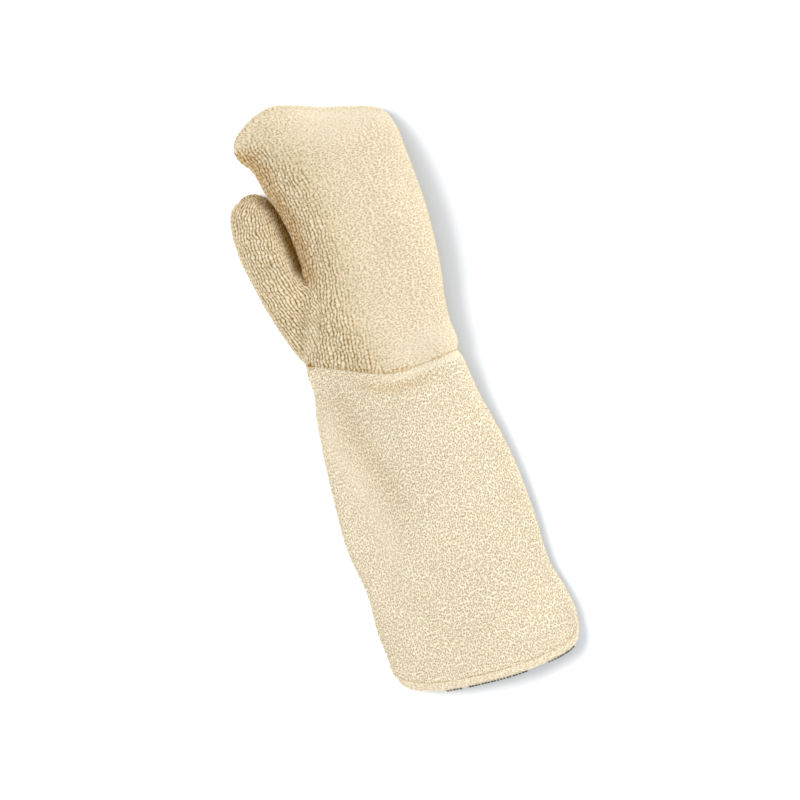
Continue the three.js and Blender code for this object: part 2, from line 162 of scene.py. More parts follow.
CUFF_COLUMNS = (
    "along", "left", "right", "rim_left", "flank_left", "crown_left", "crown_right", "rim_right",
    "equator", "round_left", "round_right",
)
CUFF_SECTIONS = [
    (0.00, WRIST["left"], WRIST["right"], WRIST_RISE, WRIST_RISE, WRIST_RISE, WRIST_RISE,
     WRIST_RISE, WRIST["equator"], WRIST["round_left"], WRIST["round_right"]),
    (0.08, -0.483, 0.506, 1.00, 1.12, 1.42, 1.48, 1.23, 0.40, 0.255, 0.130),
    (0.16, -0.508, 0.516, 0.56, 0.65, 1.10, 1.22, 0.97, 0.44, 0.085, 0.100),
    (0.28, -0.523, 0.546, 0.47, 0.49, 0.88, 1.06, 0.75, 0.48, 0.040, 0.070),
    (0.42, -0.530, 0.561, 0.46, 0.42, 0.78, 1.00, 0.60, 0.50, 0.035, 0.050),
    (0.57, -0.525, 0.553, 0.47, 0.44, 0.76, 0.97, 0.52, 0.50, 0.034, 0.038),
    (0.72, -0.479, 0.530, 0.50, 0.53, 0.80, 0.95, 0.50, 0.50, 0.033, 0.033),
    (0.84, -0.476, 0.552, 0.49, 0.59, 0.87, 0.94, 0.50, 0.50, 0.032, 0.032),
    (0.93, -0.458, 0.560, 0.48, 0.63, 0.92, 0.93, 0.50, 0.50, 0.031, 0.031),
    (0.97, -0.454, 0.550, 0.48, 0.64, 0.93, 0.93, 0.50, 0.50, 0.031, 0.031),
    (1.00, -0.425, 0.531, 0.48, 0.65, 0.93, 0.93, 0.50, 0.50, 0.031, 0.031),
]
HEIGHT_PLACES = {
    "rim_left": 0.0, "flank_left": 0.15, "crown_left": 0.4, "crown_right": 0.7, "rim_right": 1.0,
}

# Fineness of the grids, in millimetres between points
ROW_STEP = 0.95
INNER_STEP = 4.0

# Cloth meets cloth at a seam with this gap, less than the solids' so that it doesn't show
JOINT_GAP = 0.08


# Curves and sections


def mix(a, b, share):
    return a + (b - a) * share


def smooth_through(xs, ys, at):
    """A smooth curve through points in rising x, read at many places. ys may hold a column for
    each place, for curves that change from place to place."""
    xs = np.asarray(xs, float)
    ys = np.asarray(ys, float)
    at = np.clip(at, xs[0], xs[-1])
    last = len(xs) - 1
    after = np.minimum(np.arange(last + 1) + 1, last)
    before = np.maximum(np.arange(last + 1) - 1, 0)
    run = xs[after] - xs[before]
    slopes = (ys[after] - ys[before]) / (run if ys.ndim == 1 else run[:, None])
    i = np.clip(np.searchsorted(xs, at) - 1, 0, last - 1)
    span = xs[i + 1] - xs[i]
    t = (at - xs[i]) / span
    if ys.ndim == 1:
        y0, y1, m0, m1 = ys[i], ys[i + 1], slopes[i] * span, slopes[i + 1] * span
    else:
        row = np.broadcast_to(np.arange(at.shape[0])[:, None], at.shape)
        y0, y1 = ys[i, row], ys[i + 1, row]
        m0, m1 = slopes[i, row] * span, slopes[i + 1, row] * span
    rise = y1 - y0
    return y0 + t * m0 + t * t * (3 * rise - 2 * m0 - m1) + t ** 3 * (m0 + m1 - 2 * rise)


def read_table(columns, rows, place):
    """Every column of a table, read at many places of its first column."""
    values = np.array(rows, float)
    return {
        name: smooth_through(values[:, 0], values[:, k], place)
        for k, name in enumerate(columns) if k
    }


def outline(rows, size, length, x):
    points = np.array(rows, float)
    return length * smooth_through(points[:, 0], points[:, 1], x / size)


def wrist_line(x):
    return outline(WRIST_OUTLINE, WRIST_WIDTH, WRIST_WIDTH, x)


def tip_line(x):
    return outline(TIP_OUTLINE, PALM_WIDTH, HAND_LENGTH, x)


def mouth_line(x):
    return -outline(MOUTH_OUTLINE, MOUTH_WIDTH, CUFF_LENGTH, x)


def bell(distance, half_width):
    """1 at no distance, falling off like a bell."""
    return np.exp(-((distance / half_width) ** 2))


def ease(x, start, end):
    """0 up to start, rising smoothly to 1 at end."""
    t = np.clip((x - start) / (end - start), 0, 1)
    return t * t * (3 - 2 * t)


def fade(x, start, end):
    """1 up to start, falling smoothly to 0 at end."""
    return ease(-x, -end, -start)


def sections_of(row, width, **own):
    """Sections from a table's values: on the floor and with plain walls, but for its own values."""
    none = np.zeros_like(row["equator"])
    return {
        "floor": none,
        "equator": row["equator"],
        "round_left": row["round_left"] * width,
        "round_right": row["round_right"] * width,
        "ridge": none,
        "side": none,
        "under": none,
        **own,
    }


def hand_sections(along):
    row = read_table(HAND_COLUMNS, HAND_SECTIONS, along)
    width = mix(PALM_WIDTH, WRIST_WIDTH, row["wrist"])
    thickness = mix(PALM_THICKNESS, WRIST_THICKNESS, row["wrist"])
    return sections_of(
        row, width,
        left=row["left"] * width,
        right=row["right"] * width,
        heights=np.array([row["height"] * thickness] * len(HEIGHT_PLACES)),
        floor=np.maximum(row["floor"], 0) * thickness,
        side=-SEAM_PINCH * bell(along * HAND_LENGTH, PINCH_WIDTH),
    )


def cuff_sections(along):
    row = read_table(CUFF_COLUMNS, CUFF_SECTIONS, along)
    width = mix(WRIST_WIDTH, MOUTH_WIDTH, along)
    return sections_of(
        row, width,
        left=row["left"] * width,
        right=row["right"] * width,
        heights=np.array([row[name] * CUFF_THICKNESS for name in HEIGHT_PLACES]),
        ridge=SEAM_RIDGE * bell(along * CUFF_LENGTH - RIDGE_PLACE, RIDGE_HALF_WIDTH),
        side=-SEAM_PINCH * bell(along * CUFF_LENGTH, PINCH_WIDTH),
    )


def hand_edge_at(y):
    """The hand's edge on the thumb's side, at distances y from the middle of the wrist."""
    along = y / HAND_LENGTH
    for _ in range(4):
        x = hand_sections(along)["left"]
        along = (y - wrist_line(x)) / (tip_line(x) - wrist_line(x))
    return hand_sections(along)["left"]


THUMB_ROOT_X = WRIST["left"] * WRIST_WIDTH
THUMB_ROOT_Y = float(wrist_line(np.array(THUMB_ROOT_X)))


def thumb_sections(along):
    row = read_table(THUMB_COLUMNS, THUMB_SECTIONS, along)
    height = row["height"] * THUMB_THICKNESS
    crease = row["crease"] * THUMB_THICKNESS
    return sections_of(
        row, THUMB_WIDTH,
        left=THUMB_ROOT_X - row["out"] * THUMB_WIDTH,
        right=hand_edge_at(THUMB_ROOT_Y + along * THUMB_LENGTH) + row["lap"] * THUMB_WIDTH,
        heights=np.array([height] * (len(HEIGHT_PLACES) - 1) + [crease]),
        floor=np.maximum(row["floor"], 0) * THUMB_THICKNESS,
    )


def grown(sections, side, under):
    """Sections whose walls have moved outward by side, and whose underside is lower by under."""
    return {**sections, "side": sections["side"] + side, "under": sections["under"] + under}


def rounding(distance, width):
    t = np.clip(distance / width, 0, 1)
    return np.sqrt(1 - (1 - t) ** 2)


def layers_at(sections, x):
    """The upper and lower heights of each section at its row of x."""
    column = {name: value[:, None] for name, value in sections.items() if name != "heights"}
    side = column["side"]
    left = column["left"] - side
    right = column["right"] + side
    place = np.clip((x - column["left"]) / (column["right"] - column["left"]), 0, 1)
    top = smooth_through(list(HEIGHT_PLACES.values()), sections["heights"], place)
    top = top + side + column["ridge"] * place
    floor = column["floor"] - column["under"]
    rims = mix(sections["heights"][0][:, None], sections["heights"][-1][:, None], place)
    middle = np.maximum(rims * column["equator"], floor + LEAST_LAYER)
    middle = np.minimum(middle, top - LEAST_LAYER)

    def fit(width):
        return np.minimum(np.maximum(width + side, LEAST_ROUND), (right - left) / 2)

    upper = np.minimum(
        rounding(x - left, fit(column["round_left"])),
        rounding(right - x, fit(column["round_right"])),
    )
    lower_round = fit(np.minimum(middle - column["floor"], column["round_left"]))
    lower = rounding(np.minimum(x - left, right - x), lower_round)
    return mix(middle, top, upper), mix(middle, floor, lower)


# Points across each section, from which its rings are traced
TRACE_POINTS = 400


def rings(sections, lengthways, top_count, bottom_count):
    """Rows of points round the sections: over the top from the left edge to the right edge, then
    back underneath, evenly spaced within each half. Returns rows x points x 3."""
    left = (sections["left"] - sections["side"])[:, None]
    right = (sections["right"] + sections["side"])[:, None]
    across = (1 - np.cos(np.linspace(0, np.pi, TRACE_POINTS + 1))) / 2
    x = mix(left, right, across[None, :])
    top, bottom = layers_at(sections, x)
    y = lengthways(x)
    halves = []
    for z, count in ((top, top_count), (bottom, bottom_count)):
        trace = np.stack([x, y, z], axis=2)
        steps = np.linalg.norm(np.diff(trace, axis=1), axis=2)
        run = np.concatenate([np.zeros((len(x), 1)), np.cumsum(steps, axis=1)], axis=1)
        goals = np.linspace(0, 1, count + 1)
        half = np.empty((len(x), count + 1, 3))
        for i in range(len(x)):
            share = run[i] / run[i, -1]
            for axis in range(3):
                half[i, :, axis] = np.interp(goals, share, trace[i, :, axis])
        halves.append(half)
    over, under = halves
    return np.concatenate([over, under[:, -2:0:-1]], axis=1)


def stations(length, step):
    return np.linspace(0, 1, int(round(length / step)) + 1)


# Cloth: yarn loops as relief

# Multipliers that scatter the sines of hashed
HASH_ACROSS = 127.1
HASH_ALONG = 311.7
HASH_SEED = 74.7
HASH_SCATTER = 43758.5453


def hashed(i, j, seed):
    """A steady number from 0 to 1 for each cell of a grid."""
    value = np.sin(i * HASH_ACROSS + j * HASH_ALONG + seed * HASH_SEED) * HASH_SCATTER
    return value - np.floor(value)


def drift(x, y, seed):
    """Smooth noise from -1 to 1, with one swell to each unit."""
    i = np.floor(x)
    j = np.floor(y)
    fx = ease(x - i, 0, 1)
    fy = ease(y - j, 0, 1)
    low = mix(hashed(i, j, seed), hashed(i + 1, j, seed), fx)
    high = mix(hashed(i, j + 1, seed), hashed(i + 1, j + 1, seed), fx)
    return mix(low, high, fy) * 2 - 1


# Unevenness of the cloth, as its height and its lengths across and along: of the columns of
# loops, in cells, of the rows of loops, in millimetres, and of the loops along a row, in cells
COLUMN_SWAY = (0.35, 14, 9)
LONG_WAVES = (1.5, 9, 7)
SHORT_WAVES = (1.1, 4, 4)
LOOP_SLIP = (0.3, 3, 6)

# Loops: their reach and lean in cells, the width of the ditch between two and its height beside
# theirs, and the height of the lowest beside the highest
LOOP_REACH = 0.78
LOOP_LEAN = 0.5
DITCH_WIDTH = 0.35
DITCH_HEIGHT = 0.35
LOWEST_LOOP = 0.72

# Rows of loops: how square the rows and their loops are, and the notch's depth between two loops
ROW_SQUARENESS = 2.2
LOOP_SQUARENESS = 3
NOTCH_DEPTH = 0.55

# Further than any loop of the cells around
FAR = 9.0


def sway(s, t, size, seed):
    height, across, along = size
    return height * drift(s / across, t / along, seed)


def loops(s, t, wale, course, disorder, seed):
    """Relief of a pile of loops, from 0 between them to 1 at their tops. s runs across the
    cloth and t along it. Each loop is about wale wide and course long."""
    u = s / wale + sway(s, t, COLUMN_SWAY, seed + 5)
    v = t / course
    column = np.floor(u)
    nearest = np.full(u.shape, FAR)
    second = np.full(u.shape, FAR)
    tall = np.zeros(u.shape)
    for di in (-1, 0, 1):
        i = column + di
        offset = 0.5 * (i % 2)
        row = np.floor(v - offset)
        for dj in (-1, 0, 1):
            j = row + dj
            cu = i + 0.5 + disorder * (hashed(i, j, seed) - 0.5)
            cv = j + 0.5 + offset + disorder * (hashed(i, j, seed + 1) - 0.5)
            lean = LOOP_LEAN * (hashed(i, j, seed + 2) - 0.5)
            dv = v - cv
            du = (u - cu) + lean * dv
            far = np.sqrt(du * du + dv * dv)
            closer = far < nearest
            second = np.where(closer, nearest, np.minimum(second, far))
            tall = np.where(closer, hashed(i, j, seed + 3), tall)
            nearest = np.where(closer, far, nearest)
    dome = np.sqrt(np.clip(1 - (nearest / LOOP_REACH) ** 2, 0, 1))
    ditch = np.clip((second - nearest) / DITCH_WIDTH, 0, 1)
    return dome * mix(DITCH_HEIGHT, 1, ditch) * mix(LOWEST_LOOP, 1, tall)


def wales(s, t, pitch, length, seed):
    """Relief of loops that stand in long wavy rows, from 0 in the ditches to 1 on the rows. The
    rows lie a pitch apart, and each of their loops is about length long."""
    wave = sway(s, t, LONG_WAVES, seed) + sway(s, t, SHORT_WAVES, seed + 1)
    u = (s + wave) / pitch
    row = np.floor(u)
    from_middle = np.abs(u - row - 0.5) * 2
    v = t / length + hashed(row, 0 * row, seed + 2) + sway(s, t, LOOP_SLIP, seed + 4)
    loop = np.floor(v)
    from_loop = np.abs(v - loop - 0.5) * 2
    row_form = 1 - from_middle ** ROW_SQUARENESS
    loop_form = 1 - NOTCH_DEPTH * from_loop ** LOOP_SQUARENESS
    return row_form * loop_form * mix(LOWEST_LOOP, 1, hashed(row, loop, seed + 3))


# Meshes

# Millimetres of cloth that a join between two walls takes lengthways
JOIN_LENGTH = 300


class Shell:
    """Collects a piece's points and faces, with each corner's place on the flat cloth and on the
    piece's own texture map. Each point also has its place in the pile, from 0 in the ground to 1
    on the loops, which the colour ramp turns into painted shade and highlight, how far its small
    pits fade, where it is worn smooth and where it is painted paler as painted light, and how
    much shade is painted into its colour."""

    def __init__(self):
        self.points = []
        self.marks = {"pile": [], "worn": [], "shade": []}
        self.faces = []
        self.cloth = []
        self.bake = []
        self.count = 0

    def add_grid(self, points, cloth, island, pile=0.6, worn=0.0, shade=0.0, looped=False):
        """Adds a grid of closed rings and returns its point numbers. cloth holds each point's
        place on the cloth, with one column more than points, and island the part of the texture
        map's width that the grid takes."""
        rows, count = points.shape[:2]
        numbers = self.count + np.arange(rows * count).reshape(rows, count)
        points[..., 2] = np.maximum(points[..., 2], 0)
        self.points.append(points.reshape(-1, 3))
        for name, mark in (("pile", pile), ("worn", worn), ("shade", shade)):
            self.marks[name].append(np.broadcast_to(mark, points.shape[:2]).reshape(-1))
        self.count += rows * count
        i, k = np.meshgrid(np.arange(rows if looped else rows - 1), np.arange(count), indexing="ij")
        corners = ((i, k), (i, k + 1), (i + 1, k + 1), (i + 1, k))
        faces = np.stack([numbers[a % rows, b % count] for a, b in corners], axis=-1)
        on_cloth = np.stack([cloth[a % rows, b] for a, b in corners], axis=2)
        span = rows if looped else rows - 1
        on_map = np.stack([
            np.stack([mix(island[0], island[1], b / count), a / span], axis=-1) for a, b in corners
        ], axis=2)
        self.faces += faces.reshape(-1, 4).tolist()
        self.cloth += on_cloth.reshape(-1, 2).tolist()
        self.bake += on_map.reshape(-1, 2).tolist()
        return numbers

    def join(self, one, other, closed, island):
        """Fills between two chains of points that run the same way, with triangles."""
        one = list(one) + ([one[0]] if closed else [])
        other = list(other) + ([other[0]] if closed else [])
        a = b = 0
        while a < len(one) - 1 or b < len(other) - 1:
            next_a = (a + 1) / (len(one) - 1)
            next_b = (b + 1) / (len(other) - 1)
            if b == len(other) - 1 or (a < len(one) - 1 and next_a <= next_b):
                face, place, on_map = (one[a], one[a + 1], other[b]), next_a, (0, 0, 1)
                a += 1
            else:
                face, place, on_map = (one[a], other[b + 1], other[b]), next_b, (0, 1, 1)
                b += 1
            if len(set(face)) == 3:
                self.faces.append([int(number) for number in face])
                self.cloth += [[side, place * JOIN_LENGTH] for side in on_map]
                self.bake += [[mix(island[0], island[1], side), place] for side in on_map]

    def make(self, name, material):
        mesh = bpy.data.meshes.new(name)
        places = np.concatenate(self.points) * MM + WRIST_MIDDLE
        mesh.from_pydata(places.tolist(), [], self.faces)
        for label, values in (("OFBake", self.bake), ("Cloth", self.cloth)):
            layer = mesh.uv_layers.new(name=label)
            layer.data.foreach_set("uv", np.array(values, np.float32).reshape(-1))
        for label, values in self.marks.items():
            mark = mesh.attributes.new(label, "FLOAT", "POINT")
            mark.data.foreach_set("value", np.concatenate(values).astype(np.float32))
        form = bmesh.new()
        form.from_mesh(mesh)
        bmesh.ops.recalc_face_normals(form, faces=form.faces)
        form.to_mesh(mesh)
        form.free()
        mesh.polygons.foreach_set("use_smooth", [True] * len(mesh.polygons))
        mesh.update()
        mesh.materials.append(material)
        return placed(name, mesh)


def placed(name, mesh):
    piece = bpy.data.objects.new(name, mesh)
    bpy.context.scene.collection.objects.link(piece)
    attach(piece, "root")
    return piece


def around(points):
    """Distance round each closed ring, from its first point to its last and on to the first."""
    closed = np.concatenate([points, points[:, :1]], axis=1)
    steps = np.linalg.norm(np.diff(closed, axis=1), axis=2)
    return np.concatenate([np.zeros((len(points), 1)), np.cumsum(steps, axis=1)], axis=1)


def on_cloth(points, zero_column):
    """Each point's place on the cloth: s, round the ring from one column, and t, lengthways."""
    run = around(points)
    s = run - run[:, zero_column:zero_column + 1]
    t = np.concatenate([points[..., 1], points[:, :1, 1]], axis=1)
    return np.stack([s, t], axis=-1)


def outward(points):
    """Normals of a grid of closed rings that run over the top towards +X, in rows towards +Y."""
    ahead = np.roll(points, -1, axis=1) - np.roll(points, 1, axis=1)
    normals = np.cross(ahead, np.gradient(points, axis=0))
    length = np.linalg.norm(normals, axis=2, keepdims=True)
    return normals / np.maximum(length, 1e-9)


def close_end(shell, ring, turn, top_count, island):
    """Closes a grid's last ring between its upper and its lower half."""
    ring = np.roll(ring, turn)
    under = np.concatenate([ring[:1], ring[:top_count - 1:-1]])
    shell.join(ring[:top_count + 1], under, False, island)


# Angles of the rows of points round a rounded end, in degrees
END_ANGLES = (20, 38, 54, 68, 80)


def rounded_end(points, top_count, bottom_count, reach, squareness):
    """A grid with more rows, in which its upper and lower halves close on each other in a
    rounded end of the given reach. The higher squareness is, the squarer is its outline."""
    total = top_count + bottom_count
    k = np.arange(total)
    under = (total - np.round(k / top_count * bottom_count).astype(int)) % total
    over = np.round((total - k) / bottom_count * top_count).astype(int)
    last = points[-1]
    middle = (last + last[np.where(k <= top_count, under, over)]) / 2
    low, high = last[:, 0].min(), last[:, 0].max()
    across = (2 * last[:, 0] - low - high) / (high - low)
    reach = reach * np.sqrt(np.clip(1 - np.abs(across) ** squareness, 0, 1))
    rows = []
    for angle in np.radians(END_ANGLES):
        row = mix(middle, last, np.cos(angle))
        row[:, 1] = last[:, 1] + reach * np.sin(angle)
        rows.append(row)
    return np.concatenate([points, rows])


def deepest(*marks):
    """The largest of several marks at each point."""
    most = marks[0]
    for mark in marks[1:]:
        most = np.maximum(most, mark)
    return most


def before_end(points, count):
    """1 along a grid, falling to 0 over its last rows."""
    row = np.arange(len(points))[:, None]
    return fade(row, len(points) - 1 - count, len(points) - 1)


# Materials

# What the deepest shade leaves of the cloth's colour
SHADE = (0.62, 0.40, 0.09)

# Where the painted shade of the ground, the loops' own colour and the painted highlight on
# their tops lie, from 0 in the ground to 1
COLOUR_PLACES = (0.08, 0.62, 1.0)

# The small pits' share on cloth most worn smooth and on cloth painted palest as painted light,
# beside their share on the rest
WORN_AND_LIT_SHARE = 0.3


def add(tree, kind, **inputs):
    """A new node, with each of the inputs linked to an output or set to a value."""
    node = tree.nodes.new(kind)
    for name, given in inputs.items():
        socket = node.inputs[name.replace("_", " ")]
        if isinstance(given, bpy.types.NodeSocket):
            tree.links.new(given, socket)
        else:
            socket.default_value = given
    return node


def cloth_mark(tree, label):
    """The output with one of the marks that the cloth's points carry."""
    mark = add(tree, "ShaderNodeAttribute")
    mark.attribute_name = label
    return mark.outputs["Fac"]


def pits(tree, cell, disorder):
    """The output with small pits in the cloth, 0 in their middles and 1 between them. Through the
    colour ramp their middles are painted dark as shade, and the bump sinks them.
    """
    cloth = add(tree, "ShaderNodeUVMap")
    cloth.uv_map = "Cloth"
    cells = add(tree, "ShaderNodeVectorMath", Vector=cloth.outputs["UV"])
    cells.operation = "MULTIPLY"
    cells.inputs[1].default_value = (1 / cell[0], 1 / cell[1], 1)
    place = cells.outputs["Vector"]
    small = add(tree, "ShaderNodeTexVoronoi", Vector=place, Scale=1, Randomness=disorder)
    small.voronoi_dimensions = "2D"
    unlike = add(tree, "ShaderNodeTexNoise", Vector=place, Scale=1.8, Detail=1, Roughness=0.6)
    unlike.noise_dimensions = "2D"
    uneven = add(tree, "ShaderNodeMath")
    uneven.operation = "ADD"
    tree.links.new(small.outputs["Distance"], uneven.inputs[0])
    tree.links.new(unlike.outputs["Fac"], uneven.inputs[1])
    tops = add(
        tree, "ShaderNodeMapRange", Value=uneven.outputs["Value"], From_Min=0.55, From_Max=1.15)
    return tops.outputs["Result"]


def terry_material(name, deep, pale, crest, cell, disorder, small_share):
    """Cotton terry: pale loops with painted shade in the ground between them and a painted highlight
    on their tops, a little uneven in colour, quite matt. deep is the ground's painted shade, pale
    the loops' own colour and crest the painted highlight on their tops. cell is the distance in
    millimetres, across and along the cloth, between the small pits that are too fine for the mesh
    and are painted dark as shade, disorder is how unevenly they lie, and small_share is how much
    they count beside the mesh's own pile."""
    material = bpy.data.materials.new(name)
    material.use_nodes = True
    tree = material.node_tree
    pile, worn, shade = (cloth_mark(tree, label) for label in ("pile", "worn", "shade"))
    tops = pits(tree, cell, disorder)
    share = add(
        tree, "ShaderNodeMapRange", Value=worn, To_Min=small_share, To_Max=WORN_AND_LIT_SHARE * small_share)
    blend = add(tree, "ShaderNodeMix", Factor=share.outputs["Result"], A=pile, B=tops)
    ramp = add(tree, "ShaderNodeValToRGB", Fac=blend.outputs["Result"])
    stops = ramp.color_ramp.elements
    for stop, position, colour in zip(stops, COLOUR_PLACES, (deep, pale)):
        stop.position = position
        stop.color = (*colour, 1)
    stops.new(COLOUR_PLACES[-1]).color = (*crest, 1)
    place = add(tree, "ShaderNodeTexCoord").outputs["Object"]
    patches = add(tree, "ShaderNodeTexNoise", Vector=place, Scale=22, Detail=3)
    shift = add(
        tree, "ShaderNodeMapRange", Value=patches.outputs["Fac"],
        From_Min=0.3, From_Max=0.7, To_Min=0.96, To_Max=1.04)
    tint = add(
        tree, "ShaderNodeHueSaturation",
        Value=shift.outputs["Result"], Color=ramp.outputs["Color"])
    shaded = add(tree, "ShaderNodeMix")
    shaded.data_type = "RGBA"
    shaded.blend_type = "MULTIPLY"
    shaded.inputs["B"].default_value = (*SHADE, 1)
    tree.links.new(shade, shaded.inputs["Factor"])
    tree.links.new(tint.outputs["Color"], shaded.inputs["A"])
    rough = add(tree, "ShaderNodeMapRange", Value=pile, To_Min=1.0, To_Max=0.86)
    fibres = add(tree, "ShaderNodeTexNoise", Vector=place, Scale=1400, Detail=2)
    fine = add(
        tree, "ShaderNodeBump", Height=fibres.outputs["Fac"], Strength=0.4, Distance=0.0003)
    bump = add(
        tree, "ShaderNodeBump", Height=tops, Normal=fine.outputs["Normal"],
        Strength=0.6, Distance=0.0006)
    shader = tree.nodes["Principled BSDF"]
    tree.links.new(shaded.outputs["Result"], shader.inputs["Base Color"])
    tree.links.new(rough.outputs["Result"], shader.inputs["Roughness"])
    tree.links.new(bump.outputs["Normal"], shader.inputs["Normal"])
    shader.inputs["Sheen Weight"].default_value = 0.04
    shader.inputs["Sheen Roughness"].default_value = 0.6
    shader.inputs["Specular IOR Level"].default_value = 0.03
    return material


def plain_material(name, colour, roughness):
    material = bpy.data.materials.new(name)
    material.use_nodes = True
    shader = material.node_tree.nodes["Principled BSDF"]
    shader.inputs["Base Color"].default_value = (*colour, 1)
    shader.inputs["Roughness"].default_value = roughness
    return material


# Hand

# Points round the upper and the lower half of the outer and of the inner wall
HAND_TOP = 184
HAND_BOTTOM = 92
INNER_TOP = 48
INNER_BOTTOM = 24

# Parts of the texture map's width that the walls and the joins between them take
OUTER_MAP = (0.0, 0.8)
INNER_MAP = (0.82, 0.94)
START_MAP = (0.95, 0.96)
END_MAP = (0.97, 0.98)
INNER_END_MAP = (0.985, 0.995)

# The rounded end at the fingertips, and how far before it the inside ends
TIP_REACH = 4.0
TIP_SQUARENESS = 10
TIP_SEAM_DEPTH = 15.0

# Width and length of a plain loop and of a loop in the hand's rows, and the relief that lies on
# the solid's face
PLAIN_LOOP = (2.9, 2.5)
HAND_ROW = (3.7, 4.6)
MID_RELIEF = 0.62

# Height of the pile on the palm and in the rows, how low pressed cloth lies, and how far from a
# seam and from the hem cloth is pressed
PALM_PILE = 0.9
ROW_PILE = 2.3
PRESSED = -0.05
PRESSED_BY_SEAM = 1.2
PRESSED_BY_HEM = 1.5

# Where the rows fade out round the hand, and where they are fainter and the cloth is smoother
# towards the fingertips
ROWS_FADE = (-52, 10)
FAINTER_ROWS = (0.72 * HAND_LENGTH, 0.9 * HAND_LENGTH)
SMOOTHER_TIPS = (0.74 * HAND_LENGTH, 0.92 * HAND_LENGTH)

# Pile marks of the lowest and the highest relief on plain cloth and in the hand's rows, and how
# deep the shade is in the ditches between the rows
PLAIN_MARKS = (0.5, 0.8)
ROW_MARKS = (-0.24, 1.26)
DITCH_SHADE = 0.45

# How worn smooth the tips and the rows are, and how far the small pits fade in the band beside
# the wrist seam that is painted paler as painted light
WORN_TIPS = 0.8
WORN_ROWS = 0.6
PAINTED_LIGHT_BAND = 0.3


def hand_form(along, side, top_count, bottom_count, gap=JOINT_GAP):
    def lengthways(x):
        return mix(wrist_line(x) + gap / 2, tip_line(x), along[:, None])

    return rings(grown(hand_sections(along), side, side), lengthways, top_count, bottom_count)


def make_hand(material):
    points = hand_form(stations(HAND_LENGTH, ROW_STEP), 0, HAND_TOP, HAND_BOTTOM)
    points[..., 1] -= TIP_REACH * ease(points[..., 1], 0.75 * HAND_LENGTH, HAND_LENGTH)
    points = rounded_end(points, HAND_TOP, HAND_BOTTOM, TIP_REACH, TIP_SQUARENESS)
    turn = HAND_TOP + HAND_BOTTOM // 2
    points = np.roll(points, -turn, axis=1)
    cloth = on_cloth(points, HAND_BOTTOM // 2 + HAND_TOP // 2)
    s, t = cloth[:, :-1, 0], cloth[:, :-1, 1]
    x = points[..., 0]
    from_seam = np.arange(len(points))[:, None] * ROW_STEP
    wider_by_seam = 20 * fade(from_seam, 10, 70)
    thumb_half = fade(s - wider_by_seam, *ROWS_FADE)
    smoother = ease(t, *FAINTER_ROWS) * (1 - flank(points, 14, 36))
    rows = thumb_half * (1 - 0.5 * smoother)
    relief = mix(
        loops(s, t, *PLAIN_LOOP, disorder=0.95, seed=2), wales(s, t, *HAND_ROW, seed=1), rows)
    tips = ease(t, *SMOOTHER_TIPS) * (1 - 0.8 * thumb_half)
    held, painted_slot_shade = beside_thumb(points)
    by_seam = np.exp(-from_seam / PRESSED_BY_SEAM)
    pressed = deepest(held, by_seam, 1 - before_end(points, 5))
    height = mix(PALM_PILE, ROW_PILE, rows) * (1 - 0.4 * tips)
    lift = mix(height * (relief - MID_RELIEF), PRESSED, pressed)
    dots = deepest(seam_dots(points, s, from_seam), painted_corner_shade(points))
    # Painted shade: slot, ditches between rows, stitch holes, corner, edge above thumb, seam line
    shade = deepest(
        painted_slot_shade, DITCH_SHADE * (1 - relief) * rows, dots,
        EDGE_SHADE * flank(points, *EDGE_FADE) * (1.3 - relief),
        0.4 * bell(from_seam, 1.2) * ease(x, -10, 20),
    )
    # A band beside the wrist seam is painted paler, as painted light
    painted_light_band = bell(from_seam - 18, 16) * ease(x, -30, 10)
    plain_marks = mix(*PLAIN_MARKS, relief) + 0.12 * painted_light_band
    pile = mix(plain_marks, mix(*ROW_MARKS, relief), rows) * (1 - dots)
    shell = Shell()
    grid = shell.add_grid(
        points + outward(points) * lift[..., None], cloth, OUTER_MAP,
        pile=pile, shade=shade,
        worn=deepest(WORN_TIPS * tips, WORN_ROWS * rows, PAINTED_LIGHT_BAND * painted_light_band),
    )
    along = stations(HAND_LENGTH, INNER_STEP) * (1 - TIP_SEAM_DEPTH / HAND_LENGTH)
    inner = hand_form(along, -TERRY_WALL, INNER_TOP, INNER_BOTTOM)
    inside = shell.add_grid(inner, on_cloth(inner, 0), INNER_MAP)
    shell.join(np.roll(grid[0], turn), inside[0], True, START_MAP)
    close_end(shell, grid[-1], turn, HAND_TOP, END_MAP)
    close_end(shell, inside[-1], 0, INNER_TOP, INNER_END_MAP)
    return shell.make("hand_cloth", material)


# The slot beside the thumb's free end, where shade is painted: its places along the thumb, how
# far the painted shade reaches over the hand, and the depths below the thumb's crown over which
# the painted shade sets in on the hand and on the thumb
SLOT_START = (0.42, 0.5)
SLOT_END = (0.9, 1.1)
SLOT_REACH = 25
HAND_SLOT_DEPTH = (-2, 15)
THUMB_SLOT_DEPTH = (8, 24)


def beside_thumb(points):
    """How far each of the hand's points is held flat under the thumb, and how much shade is painted
    on it deep in the slot between the hand and the thumb's free end, both from 0 to 1."""
    x, y, z = points.reshape(-1, 3).T
    along = (y - THUMB_ROOT_Y) / THUMB_LENGTH
    inside = np.clip(along, 0, 1)
    sections = thumb_sections(inside)
    top, _ = layers_at(sections, x[:, None])
    top = top[:, 0] + BLEND * joined(inside)
    on_thumb = (along > -0.02) & (along < 1.02) & (x < sections["right"] + 1)
    held = ease(top - z, -1.2, 0) * on_thumb
    beside = (x < sections["right"] + SLOT_REACH) * ease(along, *SLOT_START) * fade(along, *SLOT_END)
    painted_slot_shade = beside * ease(sections["heights"][0] - z, *HAND_SLOT_DEPTH)
    return held.reshape(points.shape[:2]), painted_slot_shade.reshape(points.shape[:2])


# Shade of the hand's edge above the thumb: how strong it is, and where it fades, inward
EDGE_SHADE = 0.75
EDGE_FADE = (4, 24)


